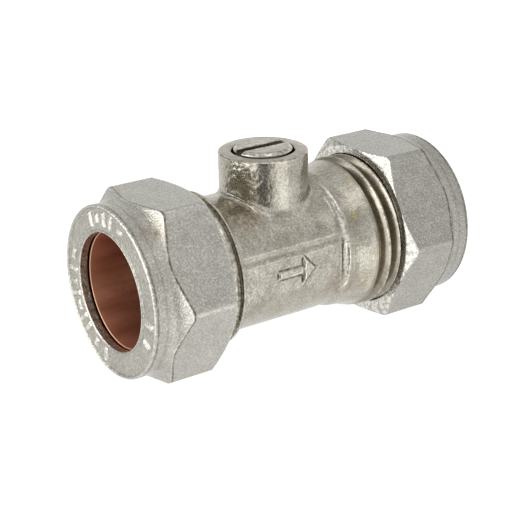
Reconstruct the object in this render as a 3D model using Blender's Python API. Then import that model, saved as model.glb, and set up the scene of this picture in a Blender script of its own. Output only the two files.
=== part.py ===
"""Inline quarter-turn isolating valve with a compression nut at each end.

Frame: the origin is where the pipe axis crosses the stem axis, +X runs along the pipe and
+Z runs up the stem boss. Lengths are metres.
"""
import math

import bmesh
import bpy
from mathutils import Matrix

MM = 0.001

# Both ends: the pipe that the valve takes and the thread that the nuts run on.
PIPE_SOCKET_RADIUS = 7.6 * MM
THREAD_PITCH = 1.814 * MM
THREAD_ROOT_RADIUS = 9.32 * MM
THREAD_CREST_RADIUS = 10.43 * MM
THREAD_CREST_FLAT = 0.29 * MM
THREAD_FLANK_ANGLE = math.radians(27.5)
THREAD_FADE = 1.0 * MM
THREAD_WIDENING = 0.18 * MM
NUT_THREAD_ROOT_RADIUS = 9.55 * MM
NUT_THREAD_CREST_RADIUS = 10.6 * MM

# Body, measured along the pipe from the stem axis.
BODY_LEFT_END = -17.9 * MM
BODY_RIGHT_END = 18.9 * MM
LEFT_COLLAR_EDGE = -10.1 * MM
RIGHT_COLLAR_START = 7.3 * MM
RIGHT_SHOULDER = 11.24 * MM
BARREL_RADIUS = 9.05 * MM
PANEL_OFFSET = 8.6 * MM
PANEL_LEFT_END = -9.3 * MM
LEFT_COLLAR_RADIUS = 10.25 * MM
LEFT_COLLAR_FILLET = 0.9 * MM
RIGHT_COLLAR_FILLET = 0.3 * MM
SHOULDER_CHAMFER = 0.1 * MM
# Turned relief between the left thread and the left collar: (along, radius) in millimetres.
LEFT_RELIEF_MM = ((-11.9, 9.45), (-11.1, 9.45), (-10.7, 9.7), (-10.4, 10.25))
# Rise of the right collar: (distance from its start, radius) in millimetres.
COLLAR_RISE_MM = ((1.2, 9.45), (2.4, 9.65), (3.1, 9.9), (3.5, 10.1))
LEFT_THREAD_INNER_END = -11.6 * MM
RIGHT_THREAD_INNER_END = 10.9 * MM
RIGHT_COLLAR_RADIUS = 10.15 * MM
MOUTH_RADIUS = 8.85 * MM
MOUTH_HALF_ANGLE = math.radians(17.5)
LEFT_PIPE_STOP = -10.0 * MM
RIGHT_PIPE_STOP = 10.9 * MM

# Ball, its seats and the ring that holds them.
BALL_RADIUS = 6.6 * MM
BALL_BORE_RADIUS = 3.9 * MM
WATERWAY_RADIUS = 4.3 * MM
CHAMBER_RADIUS = 6.95 * MM
SEAT_FRONT = 3.5 * MM
SEAT_BACK = 7.0 * MM
SEAT_OUTER_RADIUS = 6.65 * MM
RETAINER_OUTER_FACE = 10.6 * MM
GAP = 0.3 * MM

# Stem and its boss, measured up from the pipe axis.
BOSS_RADIUS = 5.87 * MM
BOSS_TOP = 14.16 * MM
BOSS_CHAMFER = 0.15 * MM
STEM_BORE_RADIUS = 4.17 * MM
STEM_RADIUS = 3.87 * MM
STEM_TOP = 14.66 * MM
STEM_FLANGE_RADIUS = 4.6 * MM
STEM_FLANGE_BOTTOM = 6.9 * MM
STEM_FLANGE_TOP = 8.0 * MM
STEM_POCKET_TOP = 9.3 * MM
TANG_BOTTOM = 5.0 * MM
TANG_THICKNESS = 2.7 * MM
TANG_WIDTH = 6.4 * MM
SLOT_WIDTH = 1.3 * MM
SLOT_DEPTH = 1.3 * MM
O_RING_THICKNESS = 1.0 * MM
O_RING_HEIGHTS = {"stem_o_ring_lower": 10.2 * MM, "stem_o_ring_upper": 12.0 * MM}
GROOVE_RADIUS = 2.85 * MM
GROOVE_WIDTH = 1.3 * MM

# Compression nut, measured from its outer face towards the body.
NUT_LENGTH = 11.42 * MM
NUT_ACROSS_FLATS = 23.0 * MM
NUT_CORNER_RADIUS = 13.05 * MM
NUT_NOSE_RADIUS = 11.25 * MM
NUT_NOSE_LENGTH = 1.72 * MM
NUT_SHOULDER_LENGTH = 2.58 * MM
NUT_HOLE_RADIUS = 7.7 * MM
NUT_LAND = 1.15 * MM
NUT_CONE_END = 2.9 * MM
NUT_THREAD_START = 3.4 * MM
LEFT_NUT_FACE = -23.82 * MM
RIGHT_NUT_FACE = 26.31 * MM
LEFT_THREAD_PHASE = -12.6 * MM
RIGHT_THREAD_PHASE = 12.17 * MM

# Compression olive, measured from the nut's outer face.
OLIVE_START = 1.5 * MM
OLIVE_LENGTH = 6.8 * MM
OLIVE_BORE_RADIUS = 7.6 * MM
OLIVE_EDGE_RADIUS = 7.85 * MM
OLIVE_RADIUS = 8.55 * MM
OLIVE_TAPER = 2.4 * MM

# Raised flow arrow on the front panel.
ARROW_LENGTH = 5.8 * MM
ARROW_HEAD_LENGTH = 2.2 * MM
ARROW_HEAD_HEIGHT = 4.2 * MM
ARROW_SHAFT_HEIGHT = 1.2 * MM
ARROW_PROUD = 0.3 * MM
ARROW_CENTRE = -0.9 * MM

ROUND_STEPS = 36
INNER_STEPS = 24
RING_STEPS = 24
ALONG_PIPE = (1, 0, 0)
UP_STEM = (0, 0, 1)

MATERIALS = {
    "nickel_body": ((0.62, 0.59, 0.53, 1), 0.32, 1.0),
    "nickel_nut": ((0.64, 0.62, 0.57, 1), 0.38, 1.0),
    "nickel_stem": ((0.60, 0.57, 0.51, 1), 0.25, 1.0),
    "chrome_ball": ((0.75, 0.76, 0.78, 1), 0.08, 1.0),
    "ptfe": ((0.88, 0.88, 0.85, 1), 0.45, 0.0),
    "brass": ((0.78, 0.60, 0.30, 1), 0.30, 1.0),
    "copper": ((0.62, 0.27, 0.16, 1), 0.30, 1.0),
    "nitrile": ((0.03, 0.03, 0.03, 1), 0.60, 0.0),
}


def clear_scene():
    for old in list(bpy.data.objects):
        bpy.data.objects.remove(old, do_unlink=True)


def material(slot):
    found = bpy.data.materials.get(slot)
    if found:
        return found
    colour, roughness, metallic = MATERIALS[slot]
    made = bpy.data.materials.new(slot)
    made.use_nodes = True
    shader = made.node_tree.nodes["Principled BSDF"]
    shader.inputs["Base Color"].default_value = colour
    shader.inputs["Roughness"].default_value = roughness
    shader.inputs["Metallic"].default_value = metallic
    return made


def add_object(name, shape, slot):
    shape.normal_update()
    bmesh.ops.recalc_face_normals(shape, faces=shape.faces)
    mesh = bpy.data.meshes.new(name)
    shape.to_mesh(mesh)
    shape.free()
    mesh.materials.append(material(slot))
    mesh.shade_smooth()
    mesh.set_sharp_from_angle(angle=math.radians(30))
    made = bpy.data.objects.new(name, mesh)
    bpy.context.collection.objects.link(made)
    return made


def tool_object(name, shape):
    made = add_object(name, shape, "brass")
    made.hide_render = True
    made.display_type = "WIRE"
    return made


def combine(target, operation, *tools):
    for tool in tools:
        step = target.modifiers.new(operation.lower() + "_" + tool.name, "BOOLEAN")
        step.operation = operation
        step.solver = "EXACT"
        step.object = tool


def arc(centre, radius, start, end, steps):
    points = []
    for step in range(steps + 1):
        angle = math.radians(start + (end - start) * step / steps)
        points.append((centre[0] + radius * math.cos(angle), centre[1] + radius * math.sin(angle)))
    return points


def turned(profile, axis, steps, ring=False):
    """Spin (along, radius) points round an axis; a ring's profile closes on itself."""
    shape = bmesh.new()
    if axis == ALONG_PIPE:
        corners = [shape.verts.new((along, radius, 0)) for along, radius in profile]
    else:
        corners = [shape.verts.new((radius, 0, along)) for along, radius in profile]
    lines = [shape.edges.new(pair) for pair in zip(corners, corners[1:])]
    if ring:
        lines.append(shape.edges.new((corners[-1], corners[0])))
    bmesh.ops.spin(shape, geom=corners + lines, cent=(0, 0, 0), axis=axis,
                   angle=math.tau, steps=steps, use_merge=True)
    bmesh.ops.remove_doubles(shape, verts=shape.verts, dist=0.001 * MM)
    return shape


def block(low, high):
    shape = bmesh.new()
    bmesh.ops.create_cube(shape, size=1)
    for corner in shape.verts:
        for side in range(3):
            corner.co[side] = high[side] if corner.co[side] > 0 else low[side]
    return shape


def helical_rod(phase, first, last, root, crest, crest_flat):
    """Closed rod with a right-hand screw thread that fades into its root radius at both ends."""
    flank = (crest - root) * math.tan(THREAD_FLANK_ANGLE)
    half = crest_flat / 2
    profile = [(-half - flank, root), (-half, crest), (half, crest), (half + flank, root)]
    first_turn = math.floor((first - phase) / THREAD_PITCH) - 1
    last_turn = math.ceil((last - phase) / THREAD_PITCH) + 1
    count = (last_turn - first_turn) * ROUND_STEPS
    shape = bmesh.new()

    def corner(step, place):
        turns = (step + 0.5) / ROUND_STEPS
        offset, radius = profile[place]
        along = min(max(phase + THREAD_PITCH * (first_turn + turns) + offset, first), last)
        from_end = min(along - first, last - along)
        radius = min(radius, root + (crest - root) * from_end / THREAD_FADE)
        return shape.verts.new((along, radius * math.cos(math.tau * turns), radius * math.sin(math.tau * turns)))

    rows = [[corner(step, place) for step in range(count + 1)] for place in range(4)]
    rows[0] += [corner(count + step, 0) for step in range(1, ROUND_STEPS + 1)]
    rows.append(rows[0][ROUND_STEPS:])
    for lower, upper in zip(rows, rows[1:]):
        for step in range(count):
            shape.faces.new((lower[step], lower[step + 1], upper[step + 1], upper[step]))
    for step, end in ((0, first), (count, last)):
        rim = [row[step] for row in rows]
        rim += reversed(rows[0][step + 1:step + ROUND_STEPS])
        centre = shape.verts.new((end, 0, 0))
        for one, other in zip(rim, rim[1:] + rim[:1]):
            shape.faces.new((one, other, centre))
    bmesh.ops.remove_doubles(shape, verts=shape.verts, dist=0.001 * MM)
    return shape


def body_thread(name, phase, first, last):
    return tool_object(name, helical_rod(phase, first, last, THREAD_ROOT_RADIUS, THREAD_CREST_RADIUS,
                                         THREAD_CREST_FLAT))


def body_outline():
    """Outer shape along the pipe between the two threads, left to right."""
    left = [(LEFT_RELIEF_MM[0][0] * MM, 0)]
    left += [(along * MM, radius * MM) for along, radius in LEFT_RELIEF_MM]
    left += [(LEFT_COLLAR_EDGE, LEFT_COLLAR_RADIUS)]
    left += arc((LEFT_COLLAR_EDGE + LEFT_COLLAR_FILLET, BARREL_RADIUS + LEFT_COLLAR_FILLET),
                LEFT_COLLAR_FILLET, 180, 270, 3)
    right = arc((RIGHT_COLLAR_START - RIGHT_COLLAR_FILLET, BARREL_RADIUS + RIGHT_COLLAR_FILLET),
                RIGHT_COLLAR_FILLET, 270, 350, 3)
    right += [(RIGHT_COLLAR_START + along * MM, radius * MM) for along, radius in COLLAR_RISE_MM]
    right += [(RIGHT_SHOULDER - 2 * SHOULDER_CHAMFER, RIGHT_COLLAR_RADIUS),
              (RIGHT_SHOULDER, RIGHT_COLLAR_RADIUS - SHOULDER_CHAMFER), (RIGHT_SHOULDER, 0)]
    return left + right


def waterway_outline():
    """Everything bored along the pipe axis: mouths, sockets, port and ball chamber."""
    beyond = 0.6 * MM
    flare = math.tan(MOUTH_HALF_ANGLE)
    cone = (MOUTH_RADIUS - PIPE_SOCKET_RADIUS) / flare
    return [(BODY_LEFT_END - beyond, 0), (BODY_LEFT_END - beyond, MOUTH_RADIUS + beyond * flare),
            (BODY_LEFT_END + cone, PIPE_SOCKET_RADIUS), (LEFT_PIPE_STOP, PIPE_SOCKET_RADIUS),
            (LEFT_PIPE_STOP, WATERWAY_RADIUS), (-SEAT_BACK - GAP, WATERWAY_RADIUS),
            (-SEAT_BACK - GAP, CHAMBER_RADIUS), (RIGHT_PIPE_STOP, CHAMBER_RADIUS),
            (RIGHT_PIPE_STOP, PIPE_SOCKET_RADIUS), (BODY_RIGHT_END - cone, PIPE_SOCKET_RADIUS),
            (BODY_RIGHT_END + beyond, MOUTH_RADIUS + beyond * flare), (BODY_RIGHT_END + beyond, 0)]


def flow_arrow():
    """Raised arrow along the pipe, standing out of the front panel."""
    tail = ARROW_CENTRE - ARROW_LENGTH / 2
    tip = ARROW_CENTRE + ARROW_LENGTH / 2
    neck = tip - ARROW_HEAD_LENGTH
    upper = [(tail, ARROW_SHAFT_HEIGHT / 2), (neck, ARROW_SHAFT_HEIGHT / 2), (neck, ARROW_HEAD_HEIGHT / 2)]
    outline = upper + [(tip, 0)] + [(along, -height) for along, height in reversed(upper)]
    shape = bmesh.new()
    face = shape.faces.new([shape.verts.new((along, -PANEL_OFFSET + GAP, height)) for along, height in outline])
    grown = bmesh.ops.extrude_face_region(shape, geom=[face])["geom"]
    moved = [piece for piece in grown if isinstance(piece, bmesh.types.BMVert)]
    bmesh.ops.translate(shape, verts=moved, vec=(0, -GAP - ARROW_PROUD, 0))
    return shape


def valve_body():
    body = add_object("valve_body", turned(body_outline(), ALONG_PIPE, ROUND_STEPS), "nickel_body")
    reach = 2 * BARREL_RADIUS
    for side, name in ((-1, "cut_front_panel"), (1, "cut_back_panel")):
        near, far = sorted((side * PANEL_OFFSET, side * reach))
        cut = tool_object(name, block((PANEL_LEFT_END, near, -reach), (RIGHT_COLLAR_START, far, reach)))
        combine(body, "DIFFERENCE", cut)
    boss = [(PANEL_OFFSET / 2, 0), (PANEL_OFFSET / 2, BOSS_RADIUS), (BOSS_TOP - BOSS_CHAMFER, BOSS_RADIUS),
            (BOSS_TOP, BOSS_RADIUS - BOSS_CHAMFER), (BOSS_TOP, 0)]
    combine(body, "UNION",
            tool_object("add_boss", turned(boss, UP_STEM, ROUND_STEPS)),
            tool_object("add_arrow", flow_arrow()),
            body_thread("add_thread_left", LEFT_THREAD_PHASE, BODY_LEFT_END, LEFT_THREAD_INNER_END),
            body_thread("add_thread_right", RIGHT_THREAD_PHASE, RIGHT_THREAD_INNER_END, BODY_RIGHT_END))
    stem_hole = [(0, 0), (0, STEM_FLANGE_RADIUS + GAP), (STEM_POCKET_TOP, STEM_FLANGE_RADIUS + GAP),
                 (STEM_POCKET_TOP, STEM_BORE_RADIUS), (BOSS_TOP + GAP, STEM_BORE_RADIUS), (BOSS_TOP + GAP, 0)]
    combine(body, "DIFFERENCE",
            tool_object("cut_waterway", turned(waterway_outline(), ALONG_PIPE, ROUND_STEPS)),
            tool_object("cut_stem_hole", turned(stem_hole, UP_STEM, ROUND_STEPS)))


def ball():
    shape = bmesh.new()
    bmesh.ops.create_uvsphere(shape, u_segments=INNER_STEPS, v_segments=INNER_STEPS // 2, radius=BALL_RADIUS)
    made = add_object("ball", shape, "chrome_ball")
    reach = 2 * BALL_RADIUS
    bore = turned([(-reach, 0), (-reach, BALL_BORE_RADIUS), (reach, BALL_BORE_RADIUS), (reach, 0)],
                  ALONG_PIPE, INNER_STEPS)
    half = TANG_THICKNESS / 2 + GAP
    slot = block((-half, -reach, TANG_BOTTOM - GAP), (half, reach, reach))
    combine(made, "DIFFERENCE", tool_object("cut_ball_bore", bore), tool_object("cut_ball_slot", slot))


def seat(name, side):
    """PTFE ring whose inner face follows the ball."""
    bearing = BALL_RADIUS + GAP
    widest = math.degrees(math.asin(WATERWAY_RADIUS / bearing))
    nearest = math.degrees(math.acos(SEAT_FRONT / bearing))
    profile = arc((0, 0), bearing, widest, nearest, 4)
    profile += [(SEAT_FRONT, SEAT_OUTER_RADIUS), (SEAT_BACK, SEAT_OUTER_RADIUS), (SEAT_BACK, WATERWAY_RADIUS)]
    profile = [(side * along, radius) for along, radius in profile]
    add_object(name, turned(profile, ALONG_PIPE, INNER_STEPS, ring=True), "ptfe")


def seat_retainer():
    """Ring screwed in behind the right seat, with two notches for its key."""
    inner_face = SEAT_BACK + GAP
    profile = [(inner_face, WATERWAY_RADIUS), (inner_face, SEAT_OUTER_RADIUS),
               (RETAINER_OUTER_FACE, SEAT_OUTER_RADIUS), (RETAINER_OUTER_FACE, WATERWAY_RADIUS)]
    made = add_object("seat_retainer", turned(profile, ALONG_PIPE, INNER_STEPS, ring=True), "brass")
    notch_depth = 1.0 * MM
    half_width = 0.8 * MM
    notch = block((RETAINER_OUTER_FACE - notch_depth, -half_width, -BALL_RADIUS * 2),
                  (RETAINER_OUTER_FACE + notch_depth, half_width, BALL_RADIUS * 2))
    combine(made, "DIFFERENCE", tool_object("cut_retainer_notches", notch))


def stem():
    """Turned stem: screwdriver slot on top, two ring grooves, a flange and a tang."""
    profile = [(STEM_FLANGE_BOTTOM, 0), (STEM_FLANGE_BOTTOM, STEM_FLANGE_RADIUS),
               (STEM_FLANGE_TOP, STEM_FLANGE_RADIUS), (STEM_FLANGE_TOP, STEM_RADIUS)]
    for height in O_RING_HEIGHTS.values():
        bottom = height - GROOVE_WIDTH / 2
        top = height + GROOVE_WIDTH / 2
        profile += [(bottom, STEM_RADIUS), (bottom, GROOVE_RADIUS), (top, GROOVE_RADIUS), (top, STEM_RADIUS)]
    chamfer = 0.4 * MM
    profile += [(STEM_TOP - chamfer, STEM_RADIUS), (STEM_TOP, STEM_RADIUS - chamfer), (STEM_TOP, 0)]
    made = add_object("stem", turned(profile, UP_STEM, INNER_STEPS), "nickel_stem")
    tang = block((-TANG_THICKNESS / 2, -TANG_WIDTH / 2, TANG_BOTTOM),
                 (TANG_THICKNESS / 2, TANG_WIDTH / 2, STEM_FLANGE_BOTTOM + GAP))
    slot = block((-2 * STEM_RADIUS, -SLOT_WIDTH / 2, STEM_TOP - SLOT_DEPTH),
                 (2 * STEM_RADIUS, SLOT_WIDTH / 2, STEM_TOP + SLOT_DEPTH))
    combine(made, "UNION", tool_object("add_tang", tang))
    combine(made, "DIFFERENCE", tool_object("cut_stem_slot", slot))


def stem_washer():
    bottom = STEM_FLANGE_TOP + GAP
    top = STEM_POCKET_TOP - GAP
    inner = STEM_RADIUS + 0.2 * MM
    profile = [(bottom, inner), (bottom, STEM_FLANGE_RADIUS), (top, STEM_FLANGE_RADIUS), (top, inner)]
    add_object("stem_thrust_washer", turned(profile, UP_STEM, INNER_STEPS, ring=True), "ptfe")


def o_ring(name, height):
    middle = (GROOVE_RADIUS + STEM_BORE_RADIUS) / 2
    section = arc((height, middle), O_RING_THICKNESS / 2, 0, 315, 7)
    add_object(name, turned(section, UP_STEM, RING_STEPS, ring=True), "nitrile")


def nut_blank_outline():
    """Round envelope of the nut, from its outer face at 0 to its body face."""
    rounding = 0.3 * MM
    rise = NUT_CORNER_RADIUS - NUT_NOSE_RADIUS
    chamfer = (NUT_CORNER_RADIUS - NUT_ACROSS_FLATS / 2) * math.tan(math.radians(30))
    outline = [(0, 0), (0, NUT_NOSE_RADIUS - rounding), (rounding, NUT_NOSE_RADIUS)]
    for part in (0, 0.35, 0.55, 0.7, 0.85, 1):
        outline.append((NUT_NOSE_LENGTH + NUT_SHOULDER_LENGTH * part, NUT_NOSE_RADIUS + rise * part ** 3))
    outline += [(NUT_LENGTH - chamfer, NUT_CORNER_RADIUS), (NUT_LENGTH, NUT_ACROSS_FLATS / 2), (NUT_LENGTH, 0)]
    return outline


def nut_hole_outline():
    """Pipe hole and olive cone, up to where the thread takes over."""
    bevel = 0.15 * MM
    beyond = 1.0 * MM
    cone_radius = NUT_HOLE_RADIUS + NUT_CONE_END - NUT_LAND
    mouth = THREAD_CREST_RADIUS + GAP
    return [(-beyond, 0), (-beyond, NUT_HOLE_RADIUS + bevel), (0, NUT_HOLE_RADIUS + bevel),
            (bevel, NUT_HOLE_RADIUS), (NUT_LAND, NUT_HOLE_RADIUS), (NUT_CONE_END, cone_radius),
            (NUT_LENGTH - beyond, cone_radius), (NUT_LENGTH, mouth), (NUT_LENGTH + beyond, mouth + beyond),
            (NUT_LENGTH + beyond, 0)]


def nut(name, face, side, phase):
    """Compression nut; side is -1 where the outer face looks along -X and +1 where along +X."""
    def placed(outline):
        return turned([(face - side * along, radius) for along, radius in outline], ALONG_PIPE, ROUND_STEPS)

    made = add_object(name, placed(nut_blank_outline()), "nickel_nut")
    flats = bmesh.new()
    bmesh.ops.create_cone(flats, cap_ends=True, segments=6, depth=8 * NUT_LENGTH,
                          radius1=NUT_ACROSS_FLATS / math.sqrt(3), radius2=NUT_ACROSS_FLATS / math.sqrt(3))
    bmesh.ops.rotate(flats, verts=flats.verts, matrix=Matrix.Rotation(math.pi / 2, 3, "Y"))
    hexagon = tool_object(name + "_hexagon", flats)
    low, high = sorted((face - side * (NUT_LENGTH + 2 * THREAD_FADE), face - side * NUT_THREAD_START))
    crest_flat = THREAD_CREST_FLAT + 2 * THREAD_WIDENING
    groove = tool_object(name + "_thread", helical_rod(phase, low, high, NUT_THREAD_ROOT_RADIUS,
                                                       NUT_THREAD_CREST_RADIUS, crest_flat))
    combine(made, "INTERSECT", hexagon)
    combine(made, "DIFFERENCE", tool_object(name + "_hole", placed(nut_hole_outline())), groove)


def olive(name, face, side):
    """Copper ring that the nut squeezes onto the pipe, tapered at both ends."""
    outline = [(0, OLIVE_BORE_RADIUS), (0, OLIVE_EDGE_RADIUS), (OLIVE_TAPER, OLIVE_RADIUS),
               (OLIVE_LENGTH - OLIVE_TAPER, OLIVE_RADIUS), (OLIVE_LENGTH, OLIVE_EDGE_RADIUS),
               (OLIVE_LENGTH, OLIVE_BORE_RADIUS)]
    profile = [(face - side * (OLIVE_START + along), radius) for along, radius in outline]
    add_object(name, turned(profile, ALONG_PIPE, ROUND_STEPS, ring=True), "copper")


def main():
    clear_scene()
    valve_body()
    ball()
    seat("seat_left", -1)
    seat("seat_right", 1)
    seat_retainer()
    stem()
    stem_washer()
    for name, height in O_RING_HEIGHTS.items():
        o_ring(name, height)
    nut("nut_left", LEFT_NUT_FACE, -1, LEFT_THREAD_PHASE)
    nut("nut_right", RIGHT_NUT_FACE, 1, RIGHT_THREAD_PHASE)
    olive("olive_left", LEFT_NUT_FACE, -1)
    olive("olive_right", RIGHT_NUT_FACE, 1)


main()
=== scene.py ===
"""Looks of an inline quarter-turn isolating valve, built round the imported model.

Shapes are worked out in millimetres in the row frame (+X along the pipe, +Z up the stem boss,
front at -Y) and scaled to metres when a mesh is made.
"""
import math

import bmesh
import bpy
import numpy as np
from mathutils import Matrix, Vector, noise


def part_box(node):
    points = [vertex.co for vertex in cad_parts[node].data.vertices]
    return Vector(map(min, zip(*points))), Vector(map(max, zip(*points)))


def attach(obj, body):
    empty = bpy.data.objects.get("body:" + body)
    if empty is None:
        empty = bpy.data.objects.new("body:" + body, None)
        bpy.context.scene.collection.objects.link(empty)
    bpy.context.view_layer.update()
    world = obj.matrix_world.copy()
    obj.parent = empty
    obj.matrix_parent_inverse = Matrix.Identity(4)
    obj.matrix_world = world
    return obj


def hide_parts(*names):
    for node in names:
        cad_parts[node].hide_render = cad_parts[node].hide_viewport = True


MM = 0.001
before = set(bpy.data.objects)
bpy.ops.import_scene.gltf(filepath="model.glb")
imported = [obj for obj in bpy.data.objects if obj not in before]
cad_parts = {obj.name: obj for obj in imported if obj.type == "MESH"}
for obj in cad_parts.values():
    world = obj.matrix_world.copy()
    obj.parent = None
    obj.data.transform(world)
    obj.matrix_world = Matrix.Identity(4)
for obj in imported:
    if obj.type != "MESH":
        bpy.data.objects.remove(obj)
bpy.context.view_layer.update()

# Places from the CAD boxes, in millimetres.
LEFT_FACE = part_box("nut_left")[0].x / MM
RIGHT_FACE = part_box("nut_right")[1].x / MM
NUT_LENGTH = (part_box("nut_left")[1].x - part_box("nut_left")[0].x) / MM
HALF_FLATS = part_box("nut_left")[1].z / MM
STEM_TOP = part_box("stem")[1].z / MM
BODY_LEFT_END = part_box("valve_body")[0].x / MM
BODY_RIGHT_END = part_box("valve_body")[1].x / MM
BOSS_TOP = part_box("valve_body")[1].z / MM
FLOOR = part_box("nut_left")[0].z / MM

# Screw thread at both ends.
PITCH = 1.814
THREAD_ROOT = 9.32
THREAD_CREST = 10.43
CREST_FLAT = 0.29
FLANK_SLOPE = math.tan(math.radians(27.5))
FADE = 1.0
NUT_ROOT = 9.55
NUT_CREST = 10.6
NUT_CREST_FLAT = 0.65
LEFT_PHASE = -12.6
RIGHT_PHASE = 12.17

# Body.
COLLAR_EDGE = -10.1
COLLAR_RADIUS = 10.25
SHOULDER = 11.24
BARREL = 9.05
PANEL = 8.6
BOSS_RADIUS = 5.87
SOCKET_RADIUS = 7.6
MOUTH_RADIUS = 8.85
MOUTH_SLOPE = math.tan(math.radians(17.5))
CHAMBER_RADIUS = 6.95
WATERWAY_RADIUS = 4.3
LEFT_STOP = -10.0
RIGHT_STOP = 10.9
STEM_BORE = 4.17
STEM_RADIUS = 3.87
POCKET_RADIUS = 4.9
POCKET_TOP = 9.3
CELL = 0.125


# ---------------------------------------------------------------- helpers

def smooth_min(a, b, k):
    """The smaller of two values, blended over about k where they are close."""
    h = np.clip(0.5 + 0.5 * (b - a) / k, 0, 1)
    return b + (a - b) * h - k * h * (1 - h)


def smooth_max(a, b, k):
    """The larger of two values, blended over about k where they are close."""
    return -smooth_min(-a, -b, k)


def ramp(x, low, high):
    """0 at low to 1 at high, eased at both ends."""
    t = np.clip((x - low) / (high - low), 0, 1)
    return t * t * (3 - 2 * t)


def wobble(points, size, seed):
    """Smooth noise in -1..1 at each point, with features of about size millimetres."""
    shift = Vector((seed * 17.3, seed * 5.1, seed * 9.7))
    return np.array([noise.noise(Vector(p) / size + shift) for p in points.tolist()])


def solid(name, points, faces):
    """Closed mesh object from millimetre points; any open rim is filled with one flat face."""
    mesh = bpy.data.meshes.new(name)
    mesh.from_pydata((np.asarray(points) * MM).tolist(), [], np.asarray(faces).tolist())
    shape = bmesh.new()
    shape.from_mesh(mesh)
    bmesh.ops.remove_doubles(shape, verts=shape.verts, dist=0.001 * MM)
    rims = [edge for edge in shape.edges if edge.is_boundary]
    if rims:
        bmesh.ops.edgeloop_fill(shape, edges=rims)
    bmesh.ops.recalc_face_normals(shape, faces=shape.faces)
    shape.to_mesh(mesh)
    shape.free()
    made = bpy.data.objects.new(name, mesh)
    bpy.context.scene.collection.objects.link(made)
    return made


def paint(made, **layers):
    """Stores numbers of 0..1 for each vertex, which the materials read by name."""
    for name, values in layers.items():
        layer = made.data.attributes.new(name, "FLOAT", "POINT")
        layer.data.foreach_set("value", np.clip(values, 0, 1).astype(np.float32).ravel())


def places(made):
    """The vertices of a piece, in millimetres."""
    points = np.zeros(len(made.data.vertices) * 3)
    made.data.vertices.foreach_get("co", points)
    return points.reshape(-1, 3) / MM


def peak(x, width):
    """1 where x is 0, falling away over about width."""
    return np.exp(-(x / width) ** 2)


def dress(made, material, body, node, sharp=32.0):
    """Smooth shading, material and body of a finished piece that stands for a CAD node."""
    made.data.materials.clear()
    made.data.materials.append(material)
    made.data.shade_smooth()
    made.data.set_sharp_from_angle(angle=math.radians(sharp))
    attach(made, body)
    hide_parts(node)
    return made


def grid_faces(rows, columns, closed):
    """Quads of a grid whose columns join up, and whose rows join up too if closed."""
    r = np.arange(rows if closed else rows - 1)[:, None]
    c = np.arange(columns)[None, :]
    r2, c2 = (r + 1) % rows, (c + 1) % columns
    quads = np.stack(np.broadcast_arrays(r * columns + c, r * columns + c2,
                                         r2 * columns + c2, r2 * columns + c), -1)
    return quads.reshape(-1, 4)


def turned(profile, axis, steps=144, closed=False):
    """Points and faces of (along, radius) pairs spun round the pipe axis or the stem axis."""
    along, radius = np.array(profile, float).T[:, :, None]
    angle = np.linspace(0, math.tau, steps, endpoint=False)[None, :]
    a = np.broadcast_to(along, (len(profile), steps))
    u, v = radius * np.cos(angle), radius * np.sin(angle)
    points = np.stack((a, u, v) if axis == "X" else (u, v, a), -1).reshape(-1, 3)
    return points, grid_faces(len(profile), steps, closed)


def rounded(profile, radius, closed=True, steps=4):
    """A polyline's corners replaced with short curves."""
    points = [Vector(p) for p in profile]
    out = []
    for i, here in enumerate(points):
        if not closed and i in (0, len(points) - 1):
            out.append(tuple(here))
            continue
        before, after = points[i - 1] - here, points[(i + 1) % len(points)] - here
        reach = min(radius, before.length * 0.45, after.length * 0.45)
        start, end = here + before.normalized() * reach, here + after.normalized() * reach
        for step in range(steps + 1):
            t = step / steps
            out.append(tuple(start * (1 - t) ** 2 + here * 2 * t * (1 - t) + end * t * t))
    return out


def combine(target, *steps):
    """Boolean steps (operation, tool) applied to the target's mesh; the tools are then removed."""
    for operation, tool in steps:
        step = target.modifiers.new(tool.name, "BOOLEAN")
        step.operation = operation
        step.solver = "MANIFOLD"
        step.object = tool
    bpy.context.view_layer.update()
    graph = bpy.context.evaluated_depsgraph_get()
    target.data = bpy.data.meshes.new_from_object(target.evaluated_get(graph))
    target.modifiers.clear()
    for _, tool in steps:
        bpy.data.objects.remove(tool)


# ---------------------------------------------------------------- threads

def thread_radius(shift, root, crest, flat):
    """Radius at an axial distance from a crest's middle, with the crest's edges softened."""
    away = np.abs((shift + PITCH / 2) % PITCH - PITCH / 2) - flat / 2
    return np.maximum(smooth_min(crest - away / FLANK_SLOPE, crest + 0 * away, 0.1), root)


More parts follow.
